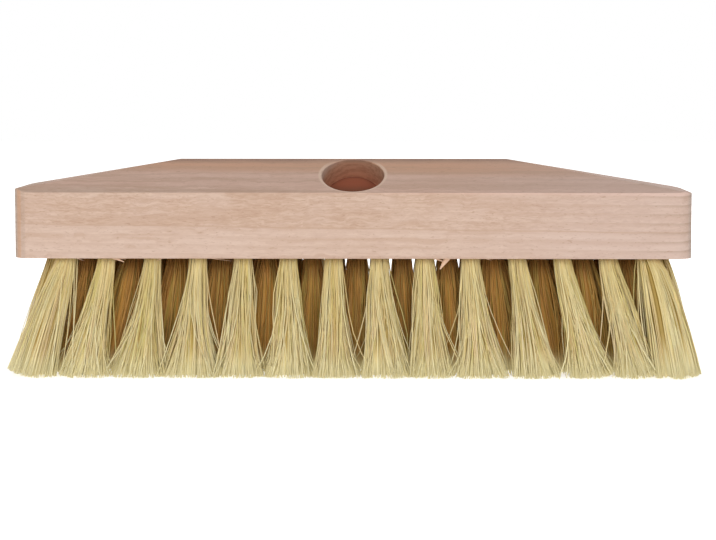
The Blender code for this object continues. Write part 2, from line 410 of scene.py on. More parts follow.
# Painted shade round the edge and on the lower side of the bore's floor, and on the lower side of its wall
FLOOR_SHADE_RADII = (0.0096, 0.0110, 0.0, 0.3)
FLOOR_SHADE_SIDE = (0.0042, 0.0078, 0.75, 0.0)
WALL_SHADE_SIDE = (-0.0005, 0.0045, 0.55, 0.0)
# Painted light: a paler patch on the left of the bore's wall, near the mouth
LIT_PATCH_X = (-0.0080, -0.0015, 1.0, 0.0)
LIT_PATCH_DEPTH = (0.0030, 0.0085, 0.6, 0.0)

# Wear, and painted shade along the ridge, on its arris and in a soft band down both slopes
RIDGE_WEAR_AND_SHADE_Z = (0.0782, 0.0795)
WEAR_AND_RIDGE_SHADING_SHARES = (0.35, 0.85)
RIDGE_PAINTED_SHADE = (0.0777, 0.0797, 0.0, 0.85)
SLOPE_NORMAL_Y = (0.1, 0.35)
RIDGE_SHADING_PATCHES = ((60, 150, 150), 2.0)
SHADING_PATCHINESS = (0.3, 0.7, 0.6, 1.0)

# Surface. A bump is its strength and height
BEECH_ROUGHNESS = (0.3, 0.7, 0.82, 0.70)
BEECH_SPECULAR = 0.10
BEECH_BUMP = (0.35, 0.00012)
FLECK_BUMP_SHARE = 0.5


def stepped(g, color, sources, steps):
    """The colour with each step's colour blended in, by the curve of its source."""
    for source, curve, shade in steps:
        color = g.blend(g.remap(sources[source], *curve), color, shade)
    return color


def mean(g, a, b):
    return g.math("ADD", g.math("MULTIPLY", a, 0.5), g.math("MULTIPLY", b, 0.5))


def swung(g, coords, noise, height):
    """A noise about 0 of this height."""
    return g.math("MULTIPLY", g.math("SUBTRACT", g.noise(coords, *noise), NOISE_MIDDLE), height)


def past_strong_ring(g, coords):
    """How far out in the tree a place lies past the one strong growth ring."""
    x, y, z = g.split(coords)
    above = g.math("SUBTRACT", z, RING_CENTRE_Z)
    squares = g.math("ADD", g.math("MULTIPLY", y, y), g.math("MULTIPLY", above, above))
    radius = g.math("ADD", g.math("SQRT", squares), g.math("MULTIPLY", x, RING_TILT))
    radius = g.math("ADD", radius, swung(g, coords, RING_WAVES, RING_WAVE))
    return g.math("SUBTRACT", radius, STRONG_RING)


def wavy(g, coords):
    """The same places, shifted a little across the block so that the grain runs in slow waves."""
    x, y, z = g.split(coords)
    ripple = swung(g, coords, RIPPLES, RIPPLE_HEIGHT)
    swing = swung(g, coords, SWINGS, SWING_HEIGHT)
    shift = g.math("ADD", ripple, swing)
    joined = g.add("ShaderNodeCombineXYZ")
    g.join(x, joined.inputs[0])
    g.join(g.math("ADD", y, shift), joined.inputs[1])
    g.join(g.math("ADD", z, shift), joined.inputs[2])
    return joined.outputs[0]


def with_rings(g, color, past_strong, ring, side, x):
    """Adds each ring's darker late wood, the one strong ring, and short ticks at the right end."""
    late = g.math("MULTIPLY", g.remap(ring, *LATE_WOOD), g.remap(side, *LATE_WOOD_ON_ENDS))
    strong = g.remap(g.math("ABSOLUTE", past_strong), *STRONG_RING_CURVE)
    color = g.blend(g.math("ADD", late, strong, clamp=True), color, BEECH_DARK)
    ticks = g.math("MULTIPLY", g.remap(ring, *TICKS), g.remap(x, *TICK_X))
    return g.blend(ticks, color, BEECH_WORN_AND_SHADED)


def with_ends(g, color, coords, ring, normal_x):
    """Adds the pores and rings of the sawn ends, and strips of painted shading on the left corner's
    rounding.
    """
    end_color = g.blend(g.remap(g.noise(coords, *PORES), *PORE_CURVE), BEECH_END_PORE, BEECH_END_GRAIN)
    end_color = g.blend(g.remap(ring, *END_RINGS), end_color, BEECH_END_PORE)
    color = g.blend(g.remap(g.math("ABSOLUTE", normal_x), *END_CURVE), color, end_color)
    # Painted shading strips, set by the normal
    for middle, shade, share in CORNER_SHADING_STRIPS:
        from_strip = g.math("ABSOLUTE", g.math("SUBTRACT", normal_x, middle))
        color = g.blend(g.remap(from_strip, *STRIP_HALF_WIDTHS, share, 0.0), color, shade)
    return color


def socket_axes():
    """The way down the bore, and the way across it to its upper side."""
    inward = Vector((0, math.sin(SOCKET_LEAN), -math.cos(SOCKET_LEAN)))
    upper_side = Vector((0, math.cos(SOCKET_LEAN), math.sin(SOCKET_LEAN)))
    return inward, upper_side


def from_socket_axis(g, coords):
    """Distance from the socket's axis, depth below its mouth, and place towards its upper side."""
    inward, upper_side = socket_axes()
    offset = g.add("ShaderNodeVectorMath", operation="SUBTRACT")
    g.join(coords, offset.inputs[0])
    offset.inputs[1].default_value = SOCKET_MOUTH
    across = g.add("ShaderNodeVectorMath", operation="CROSS_PRODUCT")
    g.join(offset.outputs[0], across.inputs[0])
    across.inputs[1].default_value = inward
    length = g.add("ShaderNodeVectorMath", operation="LENGTH")
    g.join(across.outputs[0], length.inputs[0])
    along = []
    for way in (inward, upper_side):
        dot = g.add("ShaderNodeVectorMath", operation="DOT_PRODUCT")
        g.join(offset.outputs[0], dot.inputs[0])
        dot.inputs[1].default_value = way
        along.append(dot.outputs["Value"])
    return length.outputs["Value"], *along


def shaded_bore_color(g, streaks, x, places):
    """The socket's inside in painted shade: redder with depth, darker on the floor and on the lower side.
    """
    from_axis, depth, upwards = places
    on_floor = g.remap(depth, SOCKET_DEPTH - BORE_FLOOR_EDGE, SOCKET_DEPTH)
    color = g.blend(g.remap(depth, 0.0, SOCKET_DEPTH), BORE_WALL, BORE_DEEP)
    color = g.blend(on_floor, color, BORE_FLOOR)
    color = g.blend(g.remap(streaks, *BORE_STREAKS), color, BORE_FLOOR)
    # Painted shade: darker round the floor's edge and on the bore's lower side
    floor_shade = g.math("MAXIMUM", g.remap(from_axis, *FLOOR_SHADE_RADII), g.remap(upwards, *FLOOR_SHADE_SIDE))
    color = g.blend(g.math("MULTIPLY", on_floor, floor_shade), color, BORE_PAINTED_SHADE)
    color = g.blend(g.remap(upwards, *WALL_SHADE_SIDE), color, BORE_PAINTED_SHADE)
    # Painted light: a paler patch on the left of the wall, near the mouth
    lit_patch = g.math("MULTIPLY", g.remap(depth, *LIT_PATCH_DEPTH), g.remap(x, *LIT_PATCH_X))
    return g.blend(lit_patch, color, BEECH_PINK)


def with_socket(g, color, coords, streaks):
    """Adds a painted highlight on the mouth's rim and the bore in painted shade, and gives how far a place
    lies past the bore's wall.
    """
    x, _, z = g.split(coords)
    places = from_socket_axis(g, coords)
    from_axis, depth, _ = places
    under_floor = g.remap(depth, SOCKET_DEPTH + BORE_FLOOR_EDGE, SOCKET_DEPTH + 2 * BORE_FLOOR_EDGE)
    past_wall = g.math("ADD", g.math("SUBTRACT", from_axis, SOCKET_RADIUS), under_floor)
    # Painted highlight: a paler ring round the mouth
    rim = g.remap(past_wall, MOUTH_RIM_WIDTH, 2 * MOUTH_RIM_WIDTH, RIM_SHARE, 0.0)
    color = g.blend(g.math("MULTIPLY", rim, g.remap(z, *RIM_BY_HEIGHT)), color, BEECH_RIM_HIGHLIGHT)
    inside = g.remap(past_wall, 0.0, BORE_EDGE, BORE_SHARE, 0.0)
    return g.blend(inside, color, shaded_bore_color(g, streaks, x, places)), past_wall


def with_wear_and_ridge_shade(g, color, coords, past_wall, normal_y):
    """Adds the worn arrises, painted shade on the ridge's arris and in a patchy band along the ridge, and
    the torn fibres.
    """
    height = g.split(coords)[2]
    worn_and_shaded = g.math("MULTIPLY", g.attribute("wear"), g.remap(past_wall, 0.0, MOUTH_CHAMFER))
    worn_and_shaded = g.math("MULTIPLY", worn_and_shaded, g.remap(height, *RIDGE_WEAR_AND_SHADE_Z, *WEAR_AND_RIDGE_SHADING_SHARES))
    # Worn arrises, turning into painted shade towards the ridge
    color = g.blend(worn_and_shaded, color, g.blend(g.remap(height, *RIDGE_WEAR_AND_SHADE_Z), BEECH_WORN_AND_SHADED, BEECH_SHADED_RIDGE))
    # Painted shade: a patchy dark band down both slopes from the ridge
    on_slope = g.remap(g.math("ABSOLUTE", normal_y), *SLOPE_NORMAL_Y)
    patchy_shade = g.math("MULTIPLY", on_slope, g.remap(g.noise(coords, *RIDGE_SHADING_PATCHES), *SHADING_PATCHINESS))
    color = g.blend(g.math("MULTIPLY", patchy_shade, g.remap(height, *RIDGE_PAINTED_SHADE)), color, BEECH_SHADED_RIDGE)
    return g.blend(g.attribute("torn"), color, BEECH_TORN)


def make_beech():
    g = Graph("raw_beech")
    coords = g.add("ShaderNodeTexCoord").outputs["Object"]
    x = g.split(coords)[0]
    normal_x, normal_y, _ = g.split(g.add("ShaderNodeNewGeometry").outputs["Normal"])
    past_strong = past_strong_ring(g, coords)
    ring = g.math("FRACT", g.math("DIVIDE", past_strong, RING_WIDTH))
    grain = wavy(g, coords)
    streaks = g.noise(grain, *STREAKS)
    tone = mean(g, streaks, g.noise(grain, *HAIRS))
    flecks = g.remap(g.noise(grain, *FLECKS), *FLECK_CURVE)
    sources = {"tone": tone, "past strong ring": past_strong, "x": x}
    sources |= {"clouds": g.noise(coords, *CLOUDS), "bands": g.noise(grain, *BANDS)}

    color = stepped(g, BEECH_DARK, sources, PLANED_STEPS)
    color = with_rings(g, color, past_strong, ring, g.math("ABSOLUTE", normal_x), x)
    color = g.blend(flecks, color, BEECH_FLECK)
    color = with_ends(g, color, coords, ring, normal_x)
    color, past_wall = with_socket(g, color, coords, streaks)
    color = with_wear_and_ridge_shade(g, color, coords, past_wall, normal_y)
    g.join(color, g.shader.inputs["Base Color"])

    g.join(g.remap(tone, *BEECH_ROUGHNESS), g.shader.inputs["Roughness"])
    g.shader.inputs["Specular IOR Level"].default_value = BEECH_SPECULAR
    g.bump(g.math("SUBTRACT", tone, g.math("MULTIPLY", flecks, FLECK_BUMP_SHARE)), *BEECH_BUMP)
    return g.material


FIBRE_GREEN = (0.82, 0.74, 0.28)
FIBRE_STRAW = (0.98, 0.83, 0.415)
FIBRE_PALE = (0.99, 0.92, 0.57)
FIBRE_TAN = (0.90, 0.64, 0.32)
FIBRE_ROSY = (0.93, 0.72, 0.48)
FIBRE_ROOT = (0.74, 0.58, 0.225)
FIBRE_TIP = (1.0, 0.91, 0.56)
FIBRE_PAINTED_SHADE = (0.52, 0.35, 0.08)
# Painted shade of the inner rows: brown, olive and umber in place of straw
FIBRE_SHADED_BROWN = (0.69, 0.35, 0.070)
FIBRE_SHADED_OLIVE = (0.56, 0.38, 0.080)
FIBRE_UMBER_SHADE = (0.38, 0.155, 0.035)
FIBRE_END_GAP_SHADE = (0.20, 0.12, 0.035)
FIBRE_STEPS = (
    ("tone", (0.0, 0.5, 0.0, 1.0), FIBRE_STRAW),
    ("tone", (0.5, 1.0, 0.0, 1.0), FIBRE_PALE),
    ("hue", (0.70, 0.92, 0.0, 0.55), FIBRE_TAN),
    ("hue", (0.12, 0.34, 0.6, 0.0), FIBRE_ROSY),
    ("mottle", (0.35, 0.7, 0.25, 0.0), FIBRE_TAN),
    # Painted shade: darker towards the root, under the block
    ("reach", (0.1, 0.8, 0.5, 0.0), FIBRE_ROOT),
    # Paler towards the tips: partly the fibres' own paler ends, partly painted light from the white floor
    ("reach", (0.74, 0.97, 0.0, 0.85), FIBRE_TIP),
)
INNER_SHADE_STEPS = (
    ("hue", (0.42, 0.70, 0.0, 1.0), FIBRE_SHADED_OLIVE),
    ("tone", (0.1, 0.55, 0.5, 0.0), FIBRE_UMBER_SHADE),
)
# Painted shade on the packed core between the locks, fading out towards the tips
PACKED_SHADE_CURVE = (0.62, 0.97, 0.9, 0.0)
INNER_SHADE_CURVE = (0.77, 0.98, 0.9, 0.0)
INNER_ROOT_SHADE_CURVE = (0.05, 0.3, 0.6, 0.0)
MOTTLE = ((900, 900, 160), 2.0)
FIBRE_ENDS = ((2300, 2300, 2300), 1.0)
END_GAP_SHADE_CURVE = (0.44, 0.60, 0.9, 0.0)
END_NORMAL_Z = (-0.97, -0.88, 1.0, 0.0)
FIBRE_ROUGHNESS = (0.3, 0.7, 0.68, 0.5)
FIBRE_SPECULAR = 0.35
FIBRE_SURFACE = ((4000, 4000, 500), 2.0)
FIBRE_BUMP = (0.3, 0.00005)


def end_gap_shade(g, coords, packed):
    """The share of painted shade in the gaps between cut fibre ends, on the level underside of a packed
    tuft.
    """
    normal_z = g.split(g.add("ShaderNodeNewGeometry").outputs["Normal"])[2]
    level = g.math("MULTIPLY", packed, g.remap(normal_z, *END_NORMAL_Z))
    return g.math("MULTIPLY", level, g.remap(g.noise(coords, *FIBRE_ENDS), *END_GAP_SHADE_CURVE))


def make_fibre():
    g = Graph("plant_fibre")
    coords = g.add("ShaderNodeTexCoord").outputs["Object"]
    sources = {name: g.attribute(name) for name in ("tone", "hue", "reach")}
    reach = sources["reach"]
    mottle = sources["mottle"] = g.noise(coords, *MOTTLE)
    color = stepped(g, FIBRE_GREEN, sources, FIBRE_STEPS)
    packed = g.attribute("packed")
    # Painted shade on the packed core between the locks, fading out towards the tips
    color = g.blend(g.math("MULTIPLY", packed, g.remap(reach, *PACKED_SHADE_CURVE)), color, FIBRE_PAINTED_SHADE)
    # Painted shade between the cut fibre ends under a packed tuft
    color = g.blend(end_gap_shade(g, coords, packed), color, FIBRE_END_GAP_SHADE)
    inner_shade = g.attribute("inner_shade")
    inner_shade_color = stepped(g, FIBRE_SHADED_BROWN, sources, INNER_SHADE_STEPS)
    # Painted shade: the inner rows brown down to near the tips, and umber just under the block
    color = g.blend(g.math("MULTIPLY", inner_shade, g.remap(reach, *INNER_SHADE_CURVE)), color, inner_shade_color)
    color = g.blend(g.math("MULTIPLY", inner_shade, g.remap(reach, *INNER_ROOT_SHADE_CURVE)), color, FIBRE_UMBER_SHADE)
    g.join(color, g.shader.inputs["Base Color"])
    g.join(g.remap(mottle, *FIBRE_ROUGHNESS), g.shader.inputs["Roughness"])
    g.shader.inputs["Specular IOR Level"].default_value = FIBRE_SPECULAR
    g.bump(g.noise(coords, *FIBRE_SURFACE), *FIBRE_BUMP)
    return g.material


# Making pieces


def to_mesh(bm, name):
    bmesh.ops.recalc_face_normals(bm, faces=bm.faces[:])
    mesh = bpy.data.meshes.new(name)
    bm.to_mesh(mesh)
    bm.free()
    return mesh


def new_object(name, data):
    item = bpy.data.objects.new(name, data)
    bpy.context.scene.collection.objects.link(item)
    return item


def add_piece(name, mesh, material, slot, *nodes):
    """A finished piece that rides on the brush's one body and stands for these CAD nodes."""
    piece = new_object(name, mesh)
    mesh.materials.clear()
    mesh.materials.append(material)
    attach(piece, "root")
    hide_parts(*nodes)
    return piece


# Block


def block_outline():
    """The plan of the block: a rectangle with round corners, anticlockwise."""
    middle_x = BLOCK_LENGTH / 2 - CORNER_RADIUS
    middle_y = BLOCK_WIDTH / 2 - CORNER_RADIUS
    points = []
    for quarter, (side_x, side_y) in enumerate(((1, 1), (-1, 1), (-1, -1), (1, -1))):
        for step in range(CORNER_STEPS + 1):
            angle = (quarter + step / CORNER_STEPS) * math.pi / 2
            x = side_x * middle_x + CORNER_RADIUS * math.cos(angle)
            y = side_y * middle_y + CORNER_RADIUS * math.sin(angle)
            points.append((x, y))
    return points


def loft(bm, rings):
    """Skins closed rings of equal count in order and caps both ends."""
    loops = [[bm.verts.new(point) for point in ring] for ring in rings]
    for lower, upper in zip(loops, loops[1:]):
        for i, corner in enumerate(lower):
            j = (i + 1) % len(lower)
            bm.faces.new((corner, lower[j], upper[j], upper[i]))
    bm.faces.new(loops[0])
    bm.faces.new(loops[-1])
    bmesh.ops.recalc_face_normals(bm, faces=bm.faces[:])


def roof_planes():
    """(point, outward normal) of the four slopes."""
    roof = math.atan2(RIDGE_Z - ARRIS_Z, BLOCK_WIDTH / 2)
    left, right = (Vector((x, 0, RIDGE_Z)) for x in RIDGE_X)
    return (
        (left, Vector((0, -math.sin(roof), math.cos(roof)))),
        (left, Vector((0, math.sin(roof), math.cos(roof)))),
        (left, Vector((-math.sin(END_SLOPE), 0, math.cos(END_SLOPE)))),
        (right, Vector((math.sin(END_SLOPE), 0, math.cos(END_SLOPE)))),
    )


def bevel(bm, edges, width):
    """Rounds the edges over, and gives the new faces."""
    rounding = bmesh.ops.bevel(
        bm,
        geom=edges,
        offset=width,
        segments=ARRIS_STEPS,
        profile=ROUND_PROFILE,
        affect="EDGES",
        clamp_overlap=True,
    )
    return set(rounding["faces"])


def lies_under(edge):
    """Whether an edge lies on the underside."""
    return all(vert.co.z < UNDERSIDE_Z + UNDER_ARRIS_WIDTH for vert in edge.verts)


def soften_arrises(bm):
    """Rounds the arrises over, and marks the vertices inside the rounding as worn. At the ridge this mark
    also carries painted shade.
    """
    bm.normal_update()
    upper = [edge for edge in bm.edges if edge.calc_face_angle(0) > SHARP_ANGLE and not lies_under(edge)]
    rounded = bevel(bm, upper, ARRIS_WIDTH)
    wear = bm.verts.layers.float.new("wear")
    for vert in bm.verts:
        if vert.link_faces and all(face in rounded for face in vert.link_faces):
            vert[wear] = 1.0
    bevel(bm, [edge for edge in bm.edges if lies_under(edge)], UNDER_ARRIS_WIDTH)
    for vert in bm.verts:
        vert.co.z = min(vert.co.z, cad_box[1][2])


def plain_block():
    """The block before it is bored: an upright prism, cut off by the four slopes."""
    bm = bmesh.new()
    plan = block_outline()
    loft(bm, [[(x, y, z) for x, y in plan] for z in (UNDERSIDE_Z, RIDGE_Z + CUTTER_EXCESS)])
    for point, normal in roof_planes():
        everything = bm.verts[:] + bm.edges[:] + bm.faces[:]
        sliced = bmesh.ops.bisect_plane(
            bm, geom=everything, plane_co=point, plane_no=normal, clear_outer=True
        )
        rim = [item for item in sliced["geom_cut"] if isinstance(item, bmesh.types.BMEdge)]
        bmesh.ops.contextual_create(bm, geom=rim)
    bmesh.ops.recalc_face_normals(bm, faces=bm.faces[:])
    soften_arrises(bm)
    return to_mesh(bm, "block")


def socket_point(angle, depth, grow=0.0):
    """A point of the bore's tapered wall at this angle and depth, moved outwards by the growth."""
    inward, upper_side = socket_axes()
    radius = SOCKET_RADIUS - depth * math.tan(SOCKET_TAPER) + grow
    outward = Vector((math.cos(angle), 0, 0)) + upper_side * math.sin(angle)
    return Vector(SOCKET_MOUTH) + inward * depth + outward * radius


def socket_point_under_slope(angle, sunk, grow=0.0):
    """The point of the bore's wall at this angle that lies this far below the front slope."""
    normal = roof_planes()[0][1]
    start = socket_point(angle, 0, grow)
    step = socket_point(angle, 1, grow) - start
    depth = (-sunk - (start - Vector(SOCKET_MOUTH)).dot(normal)) / step.dot(normal)
    return start + step * depth


def socket_cutter():
    angles = [2 * math.pi * i / SOCKET_SIDES for i in range(SOCKET_SIDES)]
    above = [socket_point_under_slope(a, -CUTTER_EXCESS, MOUTH_CHAMFER + CUTTER_EXCESS) for a in angles]
    neck = [socket_point_under_slope(a, MOUTH_CHAMFER) for a in angles]
    floor = [socket_point(a, SOCKET_DEPTH) for a in angles]
    bm = bmesh.new()
    loft(bm, [above, neck, floor])
    return to_mesh(bm, "socket_cutter")


def tuft_holes_cutter(roots):
    bm = bmesh.new()
    length = TUFT_HOLE_DEPTH + CUTTER_EXCESS
    for x, y in roots:
        bmesh.ops.create_cone(
            bm,
            cap_ends=True,
            segments=TUFT_HOLE_SIDES,
            radius1=TUFT_HOLE_RADIUS,
            radius2=TUFT_HOLE_RADIUS,
            depth=length,
            matrix=Matrix.Translation((x, y, UNDERSIDE_Z + TUFT_HOLE_DEPTH - length / 2)),
        )
    return to_mesh(bm, "tuft_holes_cutter")


def bored(mesh, cutters):
    """The mesh with each cutter taken out of it."""
    block = new_object("uncut", mesh)
    helpers = [block]
    for cutter_mesh in cutters:
        cutter = new_object("cutter", cutter_mesh)
        helpers.append(cutter)
        cut = block.modifiers.new("bore", "BOOLEAN")
        cut.operation = "DIFFERENCE"
        cut.solver = "EXACT"
        cut.object = cutter
    evaluated = block.evaluated_get(bpy.context.evaluated_depsgraph_get())
    result = bpy.data.meshes.new_from_object(evaluated)
    for helper in helpers:
        bpy.data.objects.remove(helper, do_unlink=True)
    return result


def add_splinters(mesh):
    """Torn slivers of wood that hang at the rims of the front tuft holes."""
    bm = bmesh.new()
    bm.from_mesh(mesh)
    torn = bm.verts.layers.float.new("torn")
    flat = Matrix.Diagonal((SPLINTER_FLATNESS, 1.0, 1.0, 1.0))
    for x, y, turn, droop, length, width in SPLINTERS:
        level = math.cos(droop)
        way = Vector((math.cos(turn) * level, math.sin(turn) * level, -math.sin(droop)))
        middle = Vector((x, y, UNDERSIDE_Z)) + way * length * (0.5 - SPLINTER_ROOT)
        cone = bmesh.ops.create_cone(
            bm,
            cap_ends=True,
            segments=SPLINTER_SIDES,
            radius1=width / 2,
            radius2=width / 2 * SPLINTER_POINT,
            depth=length,
            matrix=Matrix.Translation(middle) @ way.to_track_quat("Z", "Y").to_matrix().to_4x4() @ flat,
        )
        for vert in cone["verts"]:
            vert[torn] = 1.0
    bm.to_mesh(mesh)
    bm.free()


def add_block(material, roots):
    mesh = bored(plain_block(), [tuft_holes_cutter(roots), socket_cutter()])
    add_splinters(mesh)
    mesh.shade_smooth()
    mesh.set_sharp_from_angle(angle=SMOOTH_ANGLE)
    block = add_piece("beech_block", mesh, material, "beech", "block")
    weighted = block.modifiers.new("flat_faces", "WEIGHTED_NORMAL")
    weighted.keep_sharp = True


# Tufts


def tuft_shape(node):
    """A CAD tuft's root, the middle of its tips, and half the size of its tips, all in plan."""
    places = np.array([vert.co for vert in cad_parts[node].data.vertices])
    root = places[places[:, 2] > UNDERSIDE_Z + TUFT_HOLE_DEPTH / 2, :2]
    tips = places[places[:, 2] < TIP_ZONE, :2]
    root = (root.min(0) + root.max(0)) / 2
    return root, (tips.min(0) + tips.max(0)) / 2, np.ptp(tips, axis=0) / 2


def polar(angle, radius):
    """Points in plan at these angles and radii."""
    return np.stack([radius * np.cos(angle), radius * np.sin(angle)], 1)


def disc_places(rng, count):
    """Points spread evenly over a disc of radius 1."""
    index = np.arange(count)
    angle = index * GOLDEN_ANGLE + rng.uniform(0, 2 * math.pi)
    return polar(angle, np.sqrt((index + 0.5) / count))


def inside_disc(places):
    """The places, with those outside a disc of radius 1 moved onto its rim."""
    return places / np.maximum(1.0, np.linalg.norm(places, axis=1))[:, None]


def evened_out(places):
    """A disc's points moved outwards, so that as many stand near its sides as near its middle."""
    places = np.clip(places, -1, 1)
    return (np.arcsin(places) + places * np.sqrt(1 - places**2)) * 2 / math.pi


def way_out(z):
    """How far out of its hole a fibre is at this height, from 0 at the hole to 1 at its tip."""
    return np.clip((UNDERSIDE_Z - z) / UNDERSIDE_Z, 0, 1)


def fanned(root, tip, bundle, fan, free, powers):
    """Places in plan of fibres that lean over and spread from the bundle to the fan, this far out."""
    lean, spread = powers
    fanning = bundle[:, None] + (fan - bundle)[:, None] * (free**spread)[..., None]
    return root + (tip - root) * (free**lean)[..., None] + fanning


def at_end(tip):
    """Whether a tuft with its tips here stands at an end of the block."""
    return abs(tip[0]) > END_TIP_REACH


def between_open_gaps(root):
    """Whether the background shows past both sides of a tuft with this root."""
    return OPEN_GAPS_X[0] < root[0] < OPEN_GAPS_X[1]


def bundle_shape(row, root, tip):
    """A tuft's radius at its hole and the powers of its lean and fan, which come late where above 1."""
    if at_end(tip):
        return FULL_BUNDLE_RADIUS, RIGHT_END_SHAPE if tip[0] > 0 else LEFT_END_SHAPE
    if row not in INNER_ROWS:
        return FRONT_BUNDLE_RADIUS, (EVEN_LEAN, NARROW_FAN)
    if between_open_gaps(root):
        return OPEN_BUNDLE_RADIUS, (EVEN_LEAN, OPEN_FAN)
    return FULL_BUNDLE_RADIUS, (EVEN_LEAN, FULL_FAN)


def ring_heights(root, tip, bundle, fan, ragged, rings):
    """Heights of the rings of each fibre, from its root to its tip.

    Tips end raggedly just above the floor, or higher where a fibre leans so far that it is too short.
    """
    sideways = np.linalg.norm(tip + fan - root - bundle, axis=1)
    end_z = np.maximum(ragged, UNDERSIDE_Z - np.sqrt(LONGEST_FIBRE**2 - sideways**2) + ragged)
    return FIBRE_ROOT_Z + (end_z[:, None] - FIBRE_ROOT_Z) * np.linspace(0, 1, rings)


def outer_places(rng, lock):
    """Places of the fibres round the outside of the bundle and of the fan, gathered in locks."""
    count = len(lock)
    turn = np.arange(LOCKS) * 2 * math.pi / LOCKS + rng.uniform(0, 2 * math.pi)
    tip_turn = turn + rng.normal(0, OUTER_LOCK_DRIFT, LOCKS)
    fan_radius = rng.uniform(*OUTER_FAN, LOCKS)[lock] + rng.normal(0, OUTER_FAN_SPREAD, count)
    bundle = polar(turn[lock] + rng.normal(0, OUTER_ROOT_TURN, count), rng.uniform(*OUTER_BUNDLE, count))
    fan = polar(tip_turn[lock] + rng.normal(0, OUTER_TIP_TURN, count), fan_radius)
    return bundle, fan


def fibre_places(rng, lock):
    """Each fibre's place in the bundle and in the fan, in discs of radius 1. Most are near the rims."""
    count = len(lock)
    locks = disc_places(rng, LOCKS)
    lock_tips = locks + rng.normal(0, LOCK_DRIFT, locks.shape)
    bundle = inside_disc(locks[lock] + rng.normal(0, LOCK_ROOT_SPREAD, (count, 2)))
    fan = inside_disc(lock_tips[lock] + rng.normal(0, LOCK_TIP_SPREAD, (count, 2)))
    outer_bundle, outer_fan = outer_places(rng, lock)
    outer = (rng.random(count) < OUTER_SHARE)[:, None]
    return np.where(outer, outer_bundle, bundle), np.where(outer, outer_fan, evened_out(fan))


def bends(rng, lock, fibre_spread, lock_spread):
    """How far each fibre bends along X and Y: by itself and with its lock."""
    return rng.normal(0, fibre_spread, (len(lock), 2)) + rng.normal(0, lock_spread, (LOCKS, 2))[lock]


def strays(rng, tip, count):
    """Which fibres stray, how far, and how they bow. At an end of the block they stray inwards."""
    stray = rng.random(count) < STRAY_SHARE
    lean = rng.normal(0, STRAY_REACH, (count, 2)) * (1.0, STRAY_DEPTH_SHARE)
    bow = rng.normal(0, STRAY_BOW, (count, 2))
    if at_end(tip):
        inwards = -math.copysign(1, tip[0])
        lean[:, 0] = inwards * np.abs(lean[:, 0])
        bow[:, 0] = inwards * np.abs(bow[:, 0])
    return stray, lean, bow


def fibre_lines(rng, root, tip, half, size, powers, count):
    """Centre lines of a tuft's fibres (fibre, ring, XYZ), each one's lock, and whether it strays."""
    lock = rng.integers(0, LOCKS, count)
    bundle, fan = fibre_places(rng, lock)
    bundle = bundle * size
    calm = END_CURVE_SHARE if at_end(tip) else 1.0
    fan = fan * half + rng.normal(0, FIBRE_WANDER, (count, 2)) * calm
    bow = bends(rng, lock, FIBRE_BOW, LOCK_BOW) * calm
    wave = bends(rng, lock, FIBRE_WAVE, LOCK_WAVE) * calm
    stray, lean, stray_bow = strays(rng, tip, count)
    fan = fan + stray[:, None] * lean
    bow = np.where(stray[:, None], stray_bow, bow)

    ragged = np.abs(rng.normal(0, TIP_RAGGEDNESS, LOCKS))[lock] + rng.exponential(TIP_RAGGEDNESS, count)
    z = ring_heights(root, tip, bundle, fan, ragged, FIBRE_RINGS)
    free = way_out(z)
    curve = bow[:, None] * np.sin(math.pi * free)[..., None]
    curve = curve + wave[:, None] * np.sin(2 * math.pi * free)[..., None]
    plan = fanned(root, tip, bundle, fan, free, powers) + curve
    thickest = FIBRE_RADIUS * FIBRE_THICKNESS[1] * STRAY_THICKNESS
    limit = np.array(cad_box)[:, :2] + [[thickest], [-thickest]]
    return np.concatenate([np.clip(plan, *limit), z[..., None]], 2), lock, stray


def lock_shades(rng, tone_range, locks, lock):
    """Tone and hue of each fibre: its own, and its lock's."""
    tone = rng.normal(*tone_range, len(lock)) + rng.normal(0, LOCK_TONE_SPREAD, locks)[lock]
    hue = rng.random(len(lock)) * (1 - LOCK_HUE_SHARE) + rng.random(locks)[lock] * LOCK_HUE_SHARE
    return tone, hue


def wall_faces(index):
    """Faces with four corners between the rings of tubes. The index ends in ring and corner."""
    beside = np.roll(index, -1, axis=-1)
    corners = (index[..., :-1, :], beside[..., :-1, :], beside[..., 1:, :], index[..., 1:, :])
    return np.stack(corners, -1).reshape(-1, 4).tolist()


def fibre_skin(rng, lines, lock, stray):
    """Tapered tubes along the lines: vertices, side faces, end faces, and the vertices' shades."""
    count, rings = lines.shape[:2]
    reach = np.linspace(0, 1, rings)
    thickness = rng.uniform(*FIBRE_THICKNESS, count) * np.where(stray, STRAY_THICKNESS, 1)
    radius = FIBRE_RADIUS * thickness[:, None] * (1 + (FIBRE_TIP_SHARE - 1) * reach)
    corner = np.arange(FIBRE_SIDES) * 2 * math.pi / FIBRE_SIDES
    angle = rng.uniform(0, 2 * math.pi, (count, 1)) + corner
    around = np.stack([np.cos(angle), np.sin(angle), np.zeros_like(angle)], 2)
    verts = lines[:, :, None] + around[:, None] * radius[:, :, None, None]

    shape = verts.shape[:3]
    index = np.arange(math.prod(shape)).reshape(shape)
    ends = np.concatenate([index[:, 0], index[:, -1, ::-1]])
    tone, hue = lock_shades(rng, FIBRE_TONE, LOCKS, lock)
    tone = tone + STRAY_TONE * stray
    shades = (
        np.broadcast_to(tone[:, None, None], shape).ravel(),
        np.broadcast_to(hue[:, None, None], shape).ravel(),
        np.broadcast_to(reach[None, :, None], shape).ravel(),
        np.zeros(index.size),
    )
    return verts.reshape(-1, 3), wall_faces(index), ends.tolist(), shades


